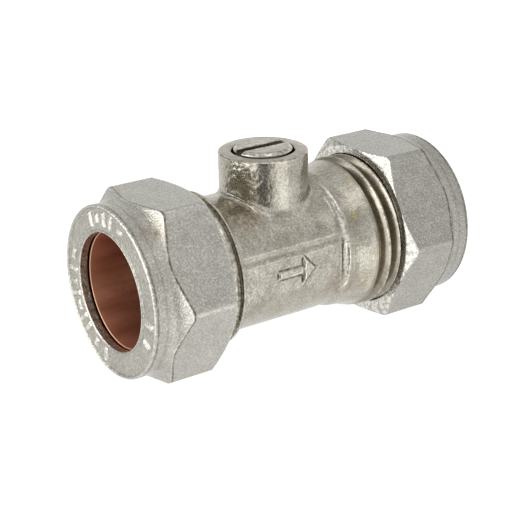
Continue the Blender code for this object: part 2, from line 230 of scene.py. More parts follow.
def screw_rod(name, phase, first, last):
    """Solid rod with the right-hand thread, its rows following the helix."""
    steps = 120
    half, flank = CREST_FLAT / 2, (THREAD_CREST - THREAD_ROOT) * FLANK_SLOPE
    offsets = np.array([-half - flank, -half - 0.55 * flank, -half - 0.15 * flank, -half + 0.05, 0,
                        half - 0.05, half + 0.15 * flank, half + 0.55 * flank, half + flank,
                        half + flank + 0.18])
    turns = np.arange(math.floor((first - phase) / PITCH) - 1,
                      math.ceil((last - phase) / PITCH) + 2)
    starts = (turns[:, None] * PITCH + phase + offsets[None, :]).reshape(-1, 1)
    shift = np.tile(offsets, len(turns))[:, None]
    part = (np.arange(steps)[None, :] + 0.5) / steps
    along = np.clip(starts + PITCH * part, first, last)
    radius = thread_radius(shift + 0 * part, THREAD_ROOT, THREAD_CREST, CREST_FLAT)
    from_end = np.minimum(along - first, last - along)
    radius = np.minimum(radius, THREAD_ROOT + (THREAD_CREST - THREAD_ROOT) * from_end / FADE)
    angle = math.tau * part + 0 * along
    points = np.stack((along, radius * np.cos(angle), radius * np.sin(angle)), -1).reshape(-1, 3)
    rows, per_turn = len(starts), len(offsets)
    r = np.arange(rows - 1)[:, None]
    c = np.arange(steps - 1)[None, :]
    quads = np.stack(np.broadcast_arrays(r * steps + c, r * steps + c + 1, (r + 1) * steps + c + 1,
                                         (r + 1) * steps + c), -1).reshape(-1, 4)
    seam = np.arange(rows - 1 - per_turn)
    joins = np.stack((seam * steps + steps - 1, (seam + per_turn) * steps,
                      (seam + per_turn + 1) * steps, (seam + 1) * steps + steps - 1), -1)
    return solid(name, points, np.concatenate((quads, joins)))


# ---------------------------------------------------------------- surface of a field

def net(field, low, high, cell):
    """Quads on the surface where field(x, y, z) is 0, evened out and pulled onto it."""
    axes = [np.arange(a, b + cell, cell, dtype=np.float32) for a, b in zip(low, high)]
    value = field(*np.meshgrid(*axes, indexing="ij"))
    inside = value < 0
    shape = value.shape
    flat = value.ravel()
    stride = (shape[1] * shape[2], shape[2], 1)
    cells, spots, quads = [], [], []
    for axis in range(3):
        ahead = [slice(None)] * 3
        behind = [slice(None)] * 3
        ahead[axis], behind[axis] = slice(1, None), slice(None, -1)
        where = np.argwhere(inside[tuple(ahead)] != inside[tuple(behind)])
        at = where @ np.array(stride)
        here, there = flat[at], flat[at + stride[axis]]
        spot = where.astype(float)
        spot[:, axis] += here / (here - there)
        u, v = stride[(axis + 1) % 3], stride[(axis + 2) % 3]
        around = np.stack((at - u - v, at - v, at, at - u), -1)
        around[here >= 0] = around[here >= 0][:, ::-1]
        quads.append(around)
        cells.append(around.ravel())
        spots.append(np.repeat(spot, 4, 0))
    _, index = np.unique(np.concatenate(cells), return_inverse=True)
    spots = np.concatenate(spots)
    count = np.bincount(index)
    points = np.stack([np.bincount(index, spots[:, i]) / count for i in range(3)], -1)
    points = points * cell + np.array(low)
    faces = index.reshape(-1, 4)
    sides = np.concatenate((faces[:, [0, 1]], faces[:, [1, 2]], faces[:, [2, 3]], faces[:, [3, 0]]))
    degree = np.bincount(sides.ravel(), minlength=len(points))[:, None]
    for turn in range(3):
        if turn:
            mean = np.stack([np.bincount(sides[:, 0], points[sides[:, 1], i], len(points))
                             + np.bincount(sides[:, 1], points[sides[:, 0], i], len(points))
                             for i in range(3)], -1) / degree
            points = points * 0.4 + mean * 0.6
        for _ in range(3):
            points = points - pull(field, points, cell)
    return points, faces


def slope_of(field, points):
    """Value and gradient of a field at points."""
    h = 0.01
    steps = np.eye(3) * h
    value = field(*points.T)
    slope = np.stack([(field(*(points + s).T) - field(*(points - s).T)) / (2 * h)
                      for s in steps], -1)
    return value, slope


def bend(field, points, reach):
    """How sharply a field's surface turns: above 0 on a ridge, below 0 in a crease."""
    total = -6 * field(*points.T)
    for step in np.eye(3) * reach:
        total += field(*(points + step).T) + field(*(points - step).T)
    return total / reach


def pull(field, points, cell):
    """How far each point is from the field's surface, as a vector no longer than a cell."""
    value, slope = slope_of(field, points)
    step = value / np.maximum((slope ** 2).sum(-1), 0.25)
    return np.clip(step, -cell, cell)[:, None] * slope


# ---------------------------------------------------------------- body

ARROW_TAIL, ARROW_NECK, ARROW_TIP = -3.8, -0.2, 2.0
ARROW_SHAFT, ARROW_HEAD, ARROW_PROUD = 0.62, 2.2, 0.36
# Raised burr round the left of the boss: its radius, and its bearings in degrees.
BURR_RADIUS, BURR_FROM, BURR_TO, BURR_RISE = 6.2, 184.0, 228.0, 0.42
# Ridge at the panel's right end, and how high it stands.
LIP, LIP_RISE = 7.0, 0.24
# Hollow along the panel's upper edge: where its middle runs, and its radius.
GROOVE_Y, GROOVE_Z, GROOVE_RADIUS = 9.08, 2.95, 0.78
# Where the barrel starts to widen towards the right collar, over what length and by how much.
FLARE_FROM, FLARE_LENGTH, FLARE_RISE = 7.9, 3.3, 0.72


def arrow_outline(x, z):
    """Signed distance, near enough, from the flow arrow's outline on the front panel."""
    z = np.abs(z)
    middle, half = (ARROW_TAIL + ARROW_NECK) / 2, (ARROW_NECK - ARROW_TAIL) / 2
    shaft = smooth_max(np.abs(x - middle) - half - 0.3, z - ARROW_SHAFT, 0.3)
    reach = math.hypot(ARROW_HEAD, ARROW_TIP - ARROW_NECK)
    sloped = ((x - ARROW_TIP) * ARROW_HEAD + z * (ARROW_TIP - ARROW_NECK)) / reach
    return smooth_min(shaft, smooth_max(ARROW_NECK - x, sloped, 0.25), 0.25)


def forging(x, y, z):
    """Signed distance, near enough, of the forged body before anything is machined."""
    # Barrel with a flat panel front and back, and the flow arrow on the front one.
    rho = np.hypot(y, z)
    side = np.abs(y)
    ridge = ARROW_PROUD * ramp(arrow_outline(x, z), 0.12, -0.42) * (y < 0)
    flare = FLARE_RISE * np.clip((x - FLARE_FROM) / FLARE_LENGTH, 0, 1.2) ** 1.6
    lip = LIP_RISE * peak(x - LIP, 0.42) * ramp(z, -6.0, -3.0) * ramp(z, 9.5, 7.5)
    radius = BARREL - 0.16 * peak(x - 6.1, 0.8) + 0.36 * ramp(x, 6.3, 8.0) + flare + lip
    flat = PANEL + 1.7 * ramp(x, 6.1, 7.5)
    core = smooth_max(rho - radius - ridge, side - flat - ridge, 0.14 + 0.5 * ramp(x, 5.0, 6.4))
    groove = np.hypot(side - GROOVE_Y, z - GROOVE_Z) - GROOVE_RADIUS
    core = smooth_max(core, -smooth_max(groove, x - 6.0, 0.8), 0.3)
    # Left collar, boss and the burr beside it.
    left = np.maximum(rho - COLLAR_RADIUS - 0.5, x - COLLAR_EDGE)
    core = smooth_min(core, left, 1.35)
    across = np.hypot(x, y)
    boss = np.maximum(across - BOSS_RADIUS, 4 - z)
    body = smooth_min(core, boss, 0.75)
    bearing = np.degrees(np.arctan2(y, x)) % 360
    along = (bearing - (BURR_FROM + BURR_TO) / 2) / (BURR_TO - BURR_FROM) * 2
    rise = BURR_RISE * np.clip(1 - along ** 2, -1, 1)
    width = np.abs(across - BURR_RADIUS) + 0.8 * (rho - BARREL) - 0.32
    burr = smooth_max(rho - BARREL - rise, width, 0.1)
    body = smooth_min(body, np.where(z > 0, burr, 5), 0.2)
    ends = np.maximum(x - 11.9, -12.2 - x)
    return np.maximum(body, np.maximum(ends, z - BOSS_TOP - 0.4))


def valve_body():
    """The forging with its dents, then turned, threaded, bored and painted."""
    points, faces = net(forging, (-12.5, -11.1, -11.1), (12.3, 11.1, 15.0), CELL)
    _, slope = slope_of(forging, points)
    slope /= np.maximum(np.linalg.norm(slope, axis=1), 1e-6)[:, None]
    x, y, z = points.T
    across = np.hypot(x, y)
    # Unevenness of the forging, rougher left of the boss, and a ragged line under the groove.
    rough = ramp(across, 7.4, 6.0) * ramp(-x, 2.0, 5.5) * ramp(z, 3.0, 6.0)
    amount = 0.022 * wobble(points, 1.7, 1) + (0.009 + 0.035 * rough) * wobble(points, 0.5, 2)
    crest = peak(z - 2.3, 0.22) * (y < -8.3) * ramp(x, 6.0, 5.0) * ramp(x, -9.0, -8.0)
    amount += 0.16 * crest * np.maximum(wobble(points * (0.5, 1, 1), 0.4, 5), 0)
    points = points + slope * amount[:, None]
    body = solid("valve_body_looks", points, faces)
    # What the machining leaves, as (x, radius) or, for the stem hole and the rim, (z, radius).
    cone = (MOUTH_RADIUS - SOCKET_RADIUS) / MOUTH_SLOPE
    beyond = 0.6
    envelope = [(-11.9, 9.45), (-11.15, 9.45), (-10.85, 9.5), (-10.62, 9.66), (-10.46, 9.9),
                (-10.4, 10.15), (-10.32, COLLAR_RADIUS), (-9.9, COLLAR_RADIUS), (-9.9, 17),
                (SHOULDER + 0.1, 17), (SHOULDER + 0.1, 10.12),
                (SHOULDER + 0.24, 10.06), (SHOULDER + 0.32, 9.9)]
    waterway = [(BODY_LEFT_END - beyond, MOUTH_RADIUS + beyond * MOUTH_SLOPE),
                (BODY_LEFT_END + cone, SOCKET_RADIUS), (LEFT_STOP, SOCKET_RADIUS),
                (LEFT_STOP, WATERWAY_RADIUS), (-7.3, WATERWAY_RADIUS), (-7.3, CHAMBER_RADIUS),
                (RIGHT_STOP, CHAMBER_RADIUS), (RIGHT_STOP, SOCKET_RADIUS),
                (BODY_RIGHT_END - cone, SOCKET_RADIUS),
                (BODY_RIGHT_END + beyond, MOUTH_RADIUS + beyond * MOUTH_SLOPE)]
    stem_hole = [(0, POCKET_RADIUS), (POCKET_TOP, POCKET_RADIUS), (POCKET_TOP, STEM_BORE),
                 (BOSS_TOP - 0.12, STEM_BORE), (BOSS_TOP + 1, STEM_BORE + 1.12)]
    rim = [(BOSS_TOP, 3), (BOSS_TOP, BOSS_RADIUS - 0.22), (BOSS_TOP - 0.05, BOSS_RADIUS - 0.09),
           (BOSS_TOP - 0.17, BOSS_RADIUS + 0.02), (BOSS_TOP - 0.2, BOSS_RADIUS + 0.3),
           (BOSS_TOP - 0.2, 8), (BOSS_TOP + 2, 8), (BOSS_TOP + 2, 3)]
    combine(body,
            ("INTERSECT", solid("envelope", *turned(envelope, "X", 180))),
            ("UNION", screw_rod("thread_left", LEFT_PHASE, BODY_LEFT_END, -11.6)),
            ("UNION", screw_rod("thread_right", RIGHT_PHASE, RIGHT_STOP, BODY_RIGHT_END)),
            ("DIFFERENCE", solid("waterway", *turned(waterway, "X"))),
            ("DIFFERENCE", solid("stem_hole", *turned(stem_hole, "Z"))),
            ("DIFFERENCE", solid("rim", *turned(rim, "Z", 144, True))))
    points = places(body)
    x, y, z = points.T
    rho, across = np.hypot(y, z), np.hypot(x, y)
    # Abrasion and painted highlights on ridges, crests and the boss's edge, a painted highlight on
    # the lip; soiling and painted shade in creases and thread roots.
    turning = bend(forging, points, 0.14) + 0.5 * bend(forging, points, 0.3)
    worn, hollow = ramp(turning, 0.16, 0.6), ramp(-turning, 0.15, 0.8)
    screw = (x > RIGHT_STOP + 0.5) | (x < -11.3)
    worn = np.where(screw, ramp(rho, 10.28, 10.4), worn)
    hollow = np.where(screw, ramp(rho, 10.3, 9.7), hollow)
    edge = peak(z - BOSS_TOP + 0.12, 0.1) * (across > BOSS_RADIUS - 0.4)
    # Less soiling and painted shade in the cove just left of the lip.
    hollow *= 1 - 0.85 * peak(x - LIP + 0.8, 0.6) * (across > 8)
    strip = (x < COLLAR_EDGE - 0.2) & (x > -11.3) & (rho > 9)
    worn, hollow = np.where(strip, 0.95, worn), np.where(strip, 0, hollow)
    # Painted highlight: a bright line round the lip at the panel's right end.
    lip = peak(x - LIP + 0.1, 0.3) * (rho < 10.5) * (rho > 9)
    lip *= ramp(z, -6.0, -3.0) * ramp(z, 9.0, 7.0)
    paint(body, worn=np.maximum(np.maximum(worn, edge), lip), hollow=hollow)
    return body


# ---------------------------------------------------------------- nuts

NOSE_RADIUS, NOSE_LENGTH, SHOULDER_LENGTH = 11.25, 1.72, 2.58
CORNER_RADIUS = 13.05
RIM = 0.3
HOLE_RADIUS, HOLE_BEVEL, LAND, CONE_END = 7.7, 0.15, 1.15, 2.9
FACE_RECESS = 0.2
NUT_COLUMNS = 500
# Raised marks round the left nut's face: the radius of their middles, then for each one its
# bearing in degrees, its half length, and whether it lies across instead of along a radius.
MARK_RADIUS = 9.45
MARKS = [(65, 0.95, 0), (76, 0.6, 0), (86, 0.95, 0), (96, 0.95, 0), (110, 0.6, 1),
         (15, 0.7, 1), (2, 0.95, 0), (351, 0.5, 0), (342, 0.95, 0), (332, 0.7, 1), (322, 0.95, 0),
         (313, 0.95, 0), (298, 0.6, 0), (283, 0.95, 0), (188, 0.95, 0), (206, 0.8, 0)]


def nut_envelope(a):
    """Radius of the round blank at a distance from the outer face."""
    u = np.clip((a - NOSE_LENGTH) / SHOULDER_LENGTH, 0, 1)
    blank = NOSE_RADIUS + (CORNER_RADIUS - NOSE_RADIUS) * u ** 3
    chamfer = HALF_FLATS + (NUT_LENGTH - a) / math.tan(math.radians(30))
    rim = NOSE_RADIUS - RIM + np.sqrt(np.maximum(RIM ** 2 - np.maximum(RIM - a, 0) ** 2, 0))
    return np.where(a < RIM, rim, np.minimum(blank, chamfer))


def between(low, high, rows):
    """Rows evenly spaced from just after low up to high."""
    return low + (high - low) * (np.arange(1, rows + 1) / rows)[:, None]


def nut(name, face, side, phase, marks, seed, edge_abrasion_and_highlight):
    """Nut with its outer face at face, its length running inward against side (-1 left, 1 right).

    Phase places the thread, and the last argument is how bright its edges are made, by abrasion and
    painted highlight.
    """
    theta = np.linspace(0, math.tau, NUT_COLUMNS, endpoint=False)[None, :]
    flat = 0 * theta
    from_flat = theta % (math.pi / 3) - math.pi / 6
    near = HALF_FLATS / np.cos(from_flat)
    far = HALF_FLATS / np.cos(math.pi / 3 - np.abs(from_flat))
    outline = smooth_min(smooth_min(near, far, 0.25), CORNER_RADIUS + 0 * near, 0.1) - 0.012
    blank_part = np.clip((outline - NOSE_RADIUS) / (CORNER_RADIUS - NOSE_RADIUS), 0, 1) ** (1 / 3)
    front_crease = NOSE_LENGTH + SHOULDER_LENGTH * blank_part
    back_crease = NUT_LENGTH - np.maximum((outline - HALF_FLATS) * math.tan(math.radians(30)), 0.03)
    bevel = np.minimum(0.09, (NUT_LENGTH - back_crease) / 2)
    # Outside, from the outer face to the inner end, with rows that follow both creases.
    nose = np.concatenate((RIM * (1 - np.cos(np.linspace(0, math.pi / 2, 6))),
                           np.arange(0.42, NOSE_LENGTH + 0.05, 0.13)))[:, None]
    outer = np.concatenate((
        nose + flat,
        between(nose[-1] + flat, front_crease - 0.09, 14),
        front_crease + np.array([-0.045, 0, 0.045, 0.09, 0.15, 0.21, 0.28, 0.38])[:, None],
        between(front_crease + 0.38, back_crease - bevel, 25),
        back_crease + bevel * np.array([-0.5, 0, 0.5, 1])[:, None],
        between(back_crease + bevel, NUT_LENGTH + flat, 4)))
    radius = smooth_min(outline, nut_envelope(outer), 0.07)
    radius = np.where(outer < RIM, nut_envelope(outer), radius)
    back = np.linspace(0, 1, 5)[1:, None]
    back_radius = radius[-1:] * (1 - back) + (THREAD_CREST + 0.1) * back
    # Inside, from the mouth over the thread and the olive's cone to the hole.
    inner = np.arange(NUT_LENGTH - 0.1, CONE_END + 0.1, -0.15)[:, None]
    turn = (face - side * inner - phase) - PITCH * theta / math.tau
    grooves = thread_radius(turn, NUT_ROOT - 0.1, NUT_CREST, NUT_CREST_FLAT)
    runout = NUT_ROOT + (NUT_CREST - NUT_ROOT) * (inner - CONE_END - 0.5) / FADE
    grooves = np.minimum(grooves, runout)
    mouth = NUT_ROOT - 0.1 + np.maximum(inner - NUT_LENGTH + 0.5, 0) * 2.4
    inner_radius = np.maximum(np.maximum(grooves, mouth), NUT_ROOT - 0.1)
    cone = np.linspace(0, 1, 9)[:, None]
    cone_a = CONE_END * (1 - cone) + LAND * cone
    cone_radius = (NUT_ROOT - 0.1) * (1 - cone) + HOLE_RADIUS * cone
    land_a = np.linspace(LAND - 0.1, HOLE_BEVEL, 6)[:, None]
    # Outer face, sunk between its two edges but for the marks.
    face_radius = np.linspace(HOLE_RADIUS + HOLE_BEVEL, NOSE_RADIUS - RIM, 30)[:-1, None] + flat
    sunk = FACE_RECESS * ramp(face_radius, 7.9, 8.12) * ramp(face_radius, 10.93, 10.72)
    height = np.zeros_like(sunk)
    for bearing, half_length, across in marks:
        off = (theta - math.radians(bearing) + math.pi) % math.tau - math.pi
        u = np.abs(face_radius - MARK_RADIUS)
        v = np.abs(off * face_radius)
        u, v = (v, u) if across else (u, v)
        raised = ramp(u, half_length + 0.1, half_length - 0.12) * ramp(v, 0.46, 0.2)
        height = np.maximum(height, raised)
    sunk = sunk - np.minimum(sunk, FACE_RECESS * height)
    along = np.concatenate((outer, NUT_LENGTH + 0 * back + flat, inner + flat, cone_a + flat,
                            land_a + flat, sunk))
    rings = np.concatenate((radius, back_radius, inner_radius, cone_radius + flat,
                            HOLE_RADIUS + 0 * land_a + flat, face_radius))
    points = np.stack((face - side * along, rings * np.cos(theta), rings * np.sin(theta)), -1)
    shape = points.shape
    points = points.reshape(-1, 3)
    # The forging's unevenness, on the outside only.
    lumps = 0.016 * wobble(points, 2.2, seed) + 0.007 * wobble(points, 0.6, seed + 1)
    outside = np.zeros(shape[:2])
    outside[:len(outer)] = ramp(outer, 0.1, 0.6) * ramp(outer, NUT_LENGTH, NUT_LENGTH - 0.3)
    lumps = (lumps - 0.012) * outside.ravel()
    points[:, 1] += lumps * np.tile(np.cos(theta[0]), shape[0])
    points[:, 2] += lumps * np.tile(np.sin(theta[0]), shape[0])
    made = solid(name, points, grid_faces(shape[0], shape[1], True))
    # Abrasion and painted highlights on the edges, abrasion on the marks; soiling and painted shade
    # in the creases, the sunk face and the thread.
    worn, hollow = np.zeros(shape[:2]), np.full(shape[:2], 0.5)
    from_corner = HALF_FLATS * (math.pi / 6 - np.abs(from_flat))
    corner = peak(from_corner, 0.16) * (outer > front_crease)
    ends = peak(outer - front_crease, 0.08) + peak(outer - back_crease, 0.1)
    ends = ends + 0.8 * peak(outer - 0.1, 0.09)
    chamfer = outer > back_crease + 0.05
    worn[:len(outer)] = np.maximum(np.maximum(corner, ends) * edge_abrasion_and_highlight, chamfer)
    hollow[:len(outer)] = (0.4 * peak(outer - NOSE_LENGTH, 0.14) + 1.2 * peak(outer - 0.42, 0.12)
                           + 1.6 * peak(outer - front_crease - 0.2, 0.11))
    land = slice(-len(sunk) - len(land_a), -len(sunk))
    # Painted highlight: the land inside the hole made fully bright, with no shade.
    hollow[land], worn[land] = 0.0, 1.0
    # Painted highlight: the inner end face and the strip at the mouth lightened, with little shade.
    end = slice(len(outer), len(outer) + len(back))
    hollow[end], worn[end] = 0.1, 0.8
    lip = slice(end.stop, end.stop + 4)
    hollow[lip], worn[lip] = 0.0, 0.7
    worn[-len(sunk):] = height + 0.8 * peak(face_radius - NOSE_RADIUS + RIM, 0.07)
    hollow[-len(sunk):] = sunk / FACE_RECESS * 0.25
    paint(made, worn=worn, hollow=hollow)
    return made


# ---------------------------------------------------------------- turned pieces

# Olive: distances from the nut's outer face and radii.
OLIVE_START, OLIVE_END, OLIVE_BORE, OLIVE_EDGE, OLIVE_CREST = 1.5, 8.3, 7.6, 7.85, 8.55
# Radii of the ball and its bore, of the seats and retainer inside and outside, of the sphere
# that the seats are cut to, and of the floor of the stem's O-ring grooves.
BALL_RADIUS, BALL_BORE = 6.6, 3.9
RING_BORE, RING_RADIUS = 4.3, 6.65
SEAT_SPHERE = 6.9
GROOVE_FLOOR = 2.85


def olive(name, face, side):
    """Copper compression ring inside a nut, with a bright edge towards the hole."""
    outline = rounded([(OLIVE_START, OLIVE_BORE), (OLIVE_START, OLIVE_EDGE), (3.9, OLIVE_CREST),
                       (5.9, OLIVE_CREST), (OLIVE_END, OLIVE_EDGE), (OLIVE_END, OLIVE_BORE)], 0.12)
    made = solid(name, *turned([(face - side * a, r) for a, r in outline], "X", 180, True))
    x, y, z = places(made).T
    from_end, from_bore = (face - x) * side - OLIVE_START, np.hypot(y, z) - OLIVE_BORE
    paint(made, worn=peak(np.hypot(from_end, from_bore), 0.12))
    return made


def slab(name, low, high):
    """Box-shaped cutting or joining tool."""
    corners = [[(low, high)[(i >> axis) & 1][axis] for axis in range(3)] for i in range(8)]
    faces = [(0, 2, 3, 1), (4, 5, 7, 6), (0, 1, 5, 4), (2, 6, 7, 3), (0, 4, 6, 2), (1, 3, 7, 5)]
    return solid(name, corners, faces)


SLOT_DEPTH, SLOT_HALF_WIDTH = 0.75, 0.65


def slot_cutter():
    """Screwdriver slot along X with softened, slightly torn upper edges.

    Its section is (side, height from the stem's top, how much wider than the slot).
    """
    x = np.linspace(-5, 5, 120)
    section = np.array([(-1, -SLOT_DEPTH, 0), (1, -SLOT_DEPTH, 0), (1, -0.1, 0), (1, 0.04, 0.13),
                        (1, 0.6, 0.13), (-1, 0.6, 0.13), (-1, 0.04, 0.13), (-1, -0.1, 0)])
    spot = np.stack((x, 0 * x, 0 * x), -1)
    torn = np.stack([wobble(spot, 0.5, 20 + (place < 0)) for place in section[:, 0]], -1)
    upper = (section[:, 1] > -0.5)[None, :]
    y = section[None, :, 0] * (SLOT_HALF_WIDTH + section[None, :, 2] + 0.07 * torn * upper)
    points = np.stack((x[:, None] + 0 * y, y, STEM_TOP + section[None, :, 1] + 0 * y), -1)
    return solid("slot", points.reshape(-1, 3), grid_faces(len(x), len(section), False))


def stem():
    """Turned stem with two O-ring grooves, a flange, a tang and the screwdriver slot."""
    top = STEM_TOP
    outline = [(6.9, 0), (6.9, 4.6), (8.0, 4.6), (8.0, STEM_RADIUS), (9.55, STEM_RADIUS),
               (9.55, GROOVE_FLOOR), (10.85, GROOVE_FLOOR), (10.85, STEM_RADIUS),
               (11.35, STEM_RADIUS), (11.35, GROOVE_FLOOR),
               (12.65, GROOVE_FLOOR), (12.65, STEM_RADIUS), (top - 0.42, STEM_RADIUS),
               (top - 0.3, STEM_RADIUS - 0.05), (top - 0.07, STEM_RADIUS - 0.32),
               (top, STEM_RADIUS - 0.5), (top, 0)]
    made = solid("stem_looks", *turned(rounded(outline, 0.04, False), "Z", 180))
    combine(made, ("UNION", slab("tang", (-1.35, -3.2, 5.0), (1.35, 3.2, 7.1))),
            ("DIFFERENCE", slot_cutter()))
    x, y, z = places(made).T
    from_axis = np.hypot(x, y)
    # Abrasion and painted highlights on the top's outer edge and the slot's torn edges; painted
    # shade on the stem from 0.6 mm below its top down.
    worn = ramp(from_axis, STEM_RADIUS - 0.6, STEM_RADIUS - 0.4) * (z > STEM_TOP - 0.35)
    torn = peak(np.abs(y) - 0.75, 0.16) * (z > STEM_TOP - 0.3) * (from_axis < STEM_RADIUS - 0.4)
    paint(made, worn=np.maximum(worn, torn), hollow=0.8 * ramp(z, STEM_TOP - 0.6, STEM_TOP - 1.2))
    return made


def ball():
    """Bored ball with a slot on top for the stem's tang."""
    edge = math.asin(BALL_BORE / BALL_RADIUS)
    angles = np.linspace(math.pi - edge, edge, 48)
    outline = [(BALL_RADIUS * math.cos(a), BALL_RADIUS * math.sin(a)) for a in angles]
    outline += [(5.2, BALL_BORE), (0, BALL_BORE), (-5.2, BALL_BORE)]
    made = solid("ball_looks", *turned(outline, "X", 128, True))
    combine(made, ("DIFFERENCE", slab("ball_slot", (-1.65, -8, 4.7), (1.65, 8, 8))))
    return made


def seat(name, side):
    """Ring whose inner side is part of a sphere a little larger than the ball."""
    angles = np.linspace(math.asin(RING_BORE / SEAT_SPHERE), math.acos(3.5 / SEAT_SPHERE), 7)
    outline = [(SEAT_SPHERE * math.cos(a), SEAT_SPHERE * math.sin(a)) for a in angles]
    outline = outline[:-1] + rounded([outline[-1], (3.5, RING_RADIUS), (7.0, RING_RADIUS),
                                      (7.0, RING_BORE)], 0.1, False)
    return solid(name, *turned([(side * a, r) for a, r in outline], "X", 128, True))


def retainer():
    """Ring behind the right seat with notches for a driver."""
    outline = rounded([(7.3, RING_BORE), (7.3, RING_RADIUS), (10.6, RING_RADIUS),
                       (10.6, RING_BORE)], 0.15)
    made = solid("seat_retainer_looks", *turned(outline, "X", 128, True))
    combine(made, ("DIFFERENCE", slab("notch", (9.6, -0.8, -8), (11.6, 0.8, 8))))
    return made


def ring(name, height, middle, radius):
    """O-ring round the stem."""
    angles = np.linspace(0, math.tau, 20, endpoint=False)
    outline = [(height + radius * math.sin(a), middle + radius * math.cos(a)) for a in angles]
    return solid(name, *turned(outline, "Z", 96, True))


def washer():
    """Flat washer on the stem's flange."""
    outline = rounded([(8.3, 4.07), (8.3, 4.6), (9.0, 4.6), (9.0, 4.07)], 0.05)
    return solid("stem_thrust_washer_looks", *turned(outline, "Z", 128, True))


# ---------------------------------------------------------------- materials

class Finish:
    """A Principled material built from noise in the piece's own coordinates."""

    def __init__(self, name, **constants):
        self.material = bpy.data.materials.new(name)
        self.material.use_nodes = True
        self.tree = self.material.node_tree
        self.shader = self.tree.nodes["Principled BSDF"]
        for socket, value in constants.items():
            self.shader.inputs[socket.replace("_", " ")].default_value = value
        self.place = self.node("ShaderNodeTexCoord").outputs["Object"]
        self.normal = None

    def node(self, kind, **settings):
        made = self.tree.nodes.new(kind)
        for key, value in settings.items():
            setattr(made, key, value)
        return made

    def feed(self, socket, value):
        """Links a socket to another node's output, or sets it to a constant."""
        if isinstance(value, bpy.types.NodeSocket):
            self.tree.links.new(value, socket)
        else:
            socket.default_value = value

    def noise(self, size, detail=2.0, roughness=0.5, stretch=None):
        """Noise of 0..1 with features of about size millimetres, finer along stretched axes."""
        made = self.node("ShaderNodeTexNoise")
        place = self.place
        if stretch:
            squash = self.node("ShaderNodeMapping")
            self.feed(squash.inputs["Vector"], place)
            squash.inputs["Scale"].default_value = stretch
            place = squash.outputs[0]
        self.feed(made.inputs["Vector"], place)
        made.inputs["Scale"].default_value = 1 / (size * MM)
        made.inputs["Detail"].default_value = detail
        made.inputs["Roughness"].default_value = roughness
        return made.outputs[0]

    def cells(self, size):
        """Distance to the nearest of many scattered points about size millimetres apart."""
        made = self.node("ShaderNodeTexVoronoi")
        self.feed(made.inputs["Vector"], self.place)
        made.inputs["Scale"].default_value = 1 / (size * MM)
        return made.outputs["Distance"]

    def span(self, value, low, high, to_low=0.0, to_high=1.0):
        """Value taken from low..high to to_low..to_high, and held at the ends."""
        made = self.node("ShaderNodeMapRange")
        for socket, given in zip(made.inputs, (value, low, high, to_low, to_high)):
            self.feed(socket, given)
        return made.outputs[0]

    def sum(self, operation, a, b):
        made = self.node("ShaderNodeMath", operation=operation)
        self.feed(made.inputs[0], a)
        self.feed(made.inputs[1], b)
        return made.outputs[0]

    def mix(self, factor, a, b, blend="MIX"):
        made = self.node("ShaderNodeMix", data_type="RGBA", blend_type=blend)
        for index, given in ((0, factor), (6, a), (7, b)):
            self.feed(made.inputs[index], given)
        return made.outputs[2]

    def near(self, spot, inner, outer):
        """1 within inner millimetres of a spot, 0 beyond outer."""
        made = self.node("ShaderNodeVectorMath", operation="DISTANCE")
        self.feed(made.inputs[0], self.place)
        made.inputs[1].default_value = [c * MM for c in spot]
        return self.span(made.outputs["Value"], inner * MM, outer * MM, 1.0, 0.0)

    def stored(self, name):
        return self.node("ShaderNodeAttribute", attribute_name=name).outputs["Fac"]

    def shaded(self, colour, factor):
        """Colour multiplied by a factor."""
        grey = self.node("ShaderNodeCombineColor")
        for socket in grey.inputs[:3]:
            self.feed(socket, factor)
        return self.mix(1.0, colour, grey.outputs[0], "MULTIPLY")

    def abrasion_soil_and_painted_light(self, colour, patches, abrasion_and_highlight_strength, soil_and_shade_strength, bright, soil_and_shade_colour):
        """Abrasion and painted highlights on ridges, soiling and painted shade in creases, broken
        up by patches.
        """
        mask = self.sum("MULTIPLY", self.stored("worn"),
                        self.span(patches, 0.42, 0.56, 0.1 * abrasion_and_highlight_strength, abrasion_and_highlight_strength))
        colour = self.mix(mask, colour, bright)
        mask = self.sum("MULTIPLY", self.stored("hollow"),
                        self.span(patches, 0.62, 0.42, 0.35 * soil_and_shade_strength, soil_and_shade_strength))
        return self.mix(mask, colour, soil_and_shade_colour)

    def bump(self, height, depth):
        """Adds relief depth millimetres high."""
        made = self.node("ShaderNodeBump")
        made.inputs["Distance"].default_value = depth * MM
        self.feed(made.inputs["Height"], height)
        if self.normal:
            self.feed(made.inputs["Normal"], self.normal)
        self.normal = made.outputs[0]

    def done(self, colour, roughness):
        """The finished material."""
        self.feed(self.shader.inputs["Base Color"], colour)
        self.feed(self.shader.inputs["Roughness"], roughness)
        if self.normal:
            self.feed(self.shader.inputs["Normal"], self.normal)
        return self.material


FLECK, GLINT, PIT = (0.85, 0.84, 0.80, 1), (0.90, 0.89, 0.86, 1), (0.13, 0.11, 0.08, 1)
STAIN, BARE_BRASS = (0.24, 0.17, 0.10, 1), (0.50, 0.39, 0.20, 1)
# Colours mixed in for abrasion with painted highlights, and for soiling with painted shade.
ABRADED_AND_HIGHLIGHT, SOIL_AND_SHADE = (0.90, 0.88, 0.83, 1), (0.12, 0.10, 0.07, 1)


